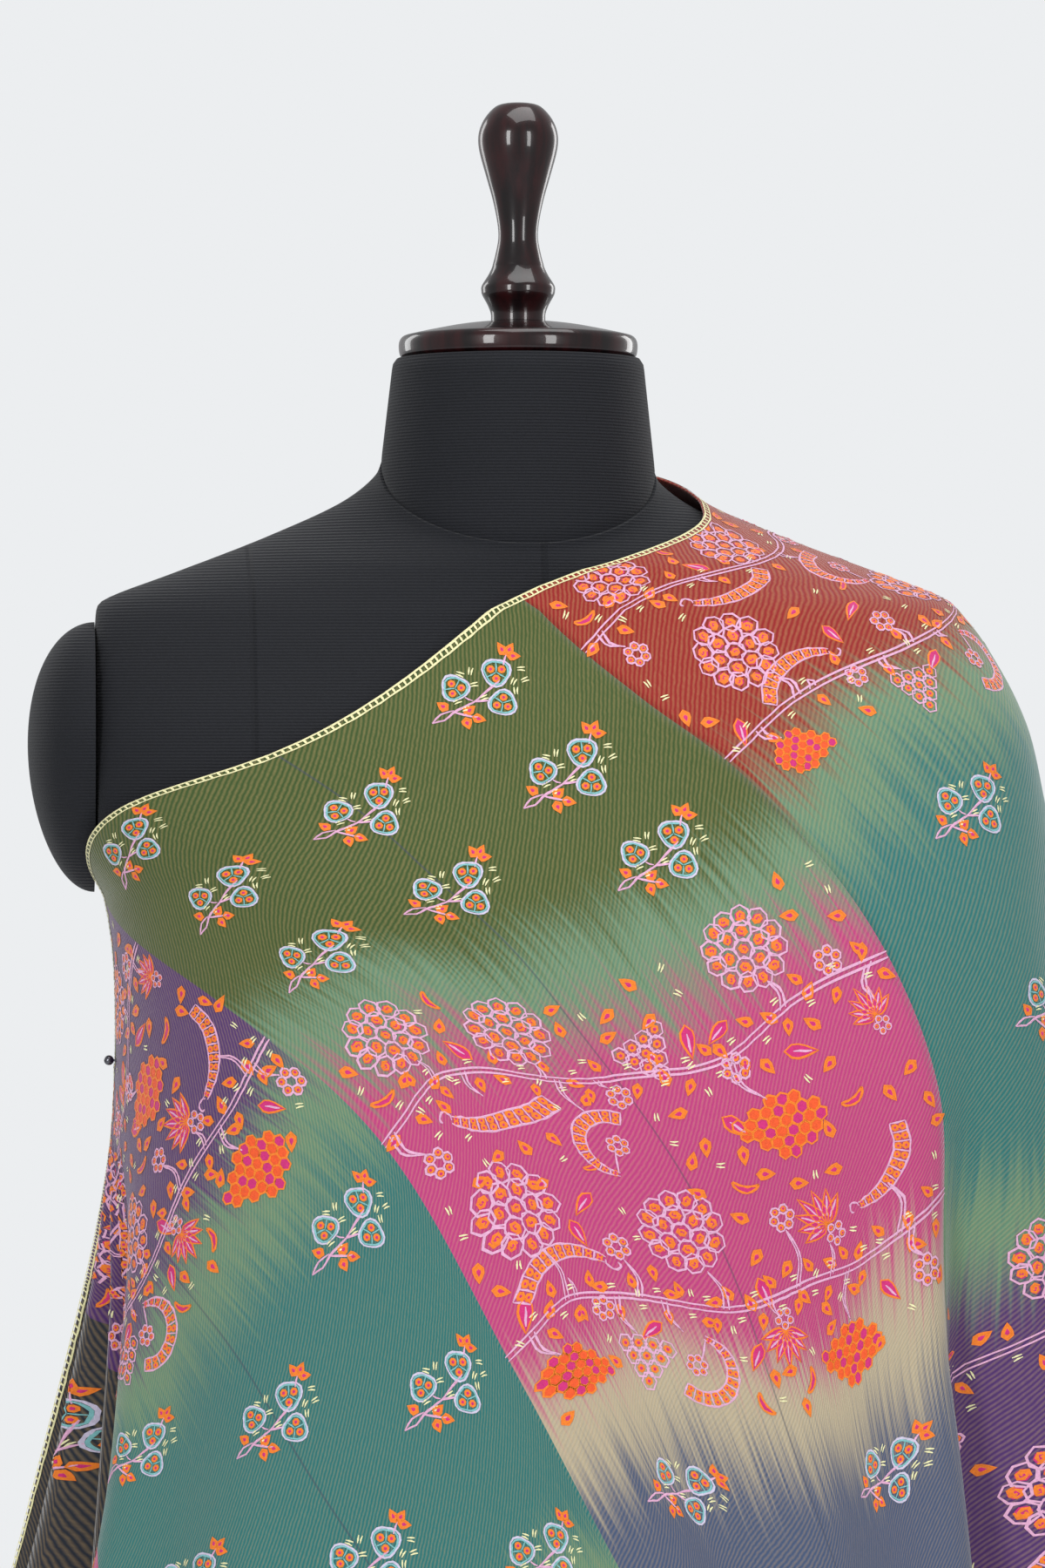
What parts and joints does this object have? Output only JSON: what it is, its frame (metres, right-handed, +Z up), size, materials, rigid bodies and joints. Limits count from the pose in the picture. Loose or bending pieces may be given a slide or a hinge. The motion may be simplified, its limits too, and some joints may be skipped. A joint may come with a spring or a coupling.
{
  "type": "pashmina shawl on dress form",
  "caption": "Patchwork-dyed embroidered shawl worn over one shoulder of a black limbless dress form on a round-based stand.",
  "frame": {"origin": "centre of the stand base's underside, on the floor under the pole", "axes": "+Z up, -Y the front of the dress form, +X its left arm, which the shawl covers"},
  "size_m": [0.604, 0.3996, 1.5551],
  "materials": {
    "cashmere": "twill-woven cashmere, dip-dyed in blocks of green, red, pink, teal and purple, with coloured needlework",
    "black_jersey": "matt black ribbed jersey stretched over padding",
    "dark_wood": "dark red-brown lacquer",
    "black_iron": "satin black enamel",
    "pin_steel": "polished pin head"
  },
  "bodies": {
    "root": {"shawl_front": "cashmere", "shawl_shoulder": "cashmere", "shawl_back": "cashmere", "shawl_fall_front": "cashmere", "shawl_fall_back": "cashmere", "shawl_pin": "pin_steel", "form_torso": "black_jersey", "form_neck": "black_jersey", "form_arm_cap_left": "black_jersey", "form_arm_cap_right": "black_jersey", "neck_cap": "dark_wood", "knob": "dark_wood", "form_board": "dark_wood", "stand_pole": "black_iron", "stand_base": "black_iron"}
  },
  "joints": []
}
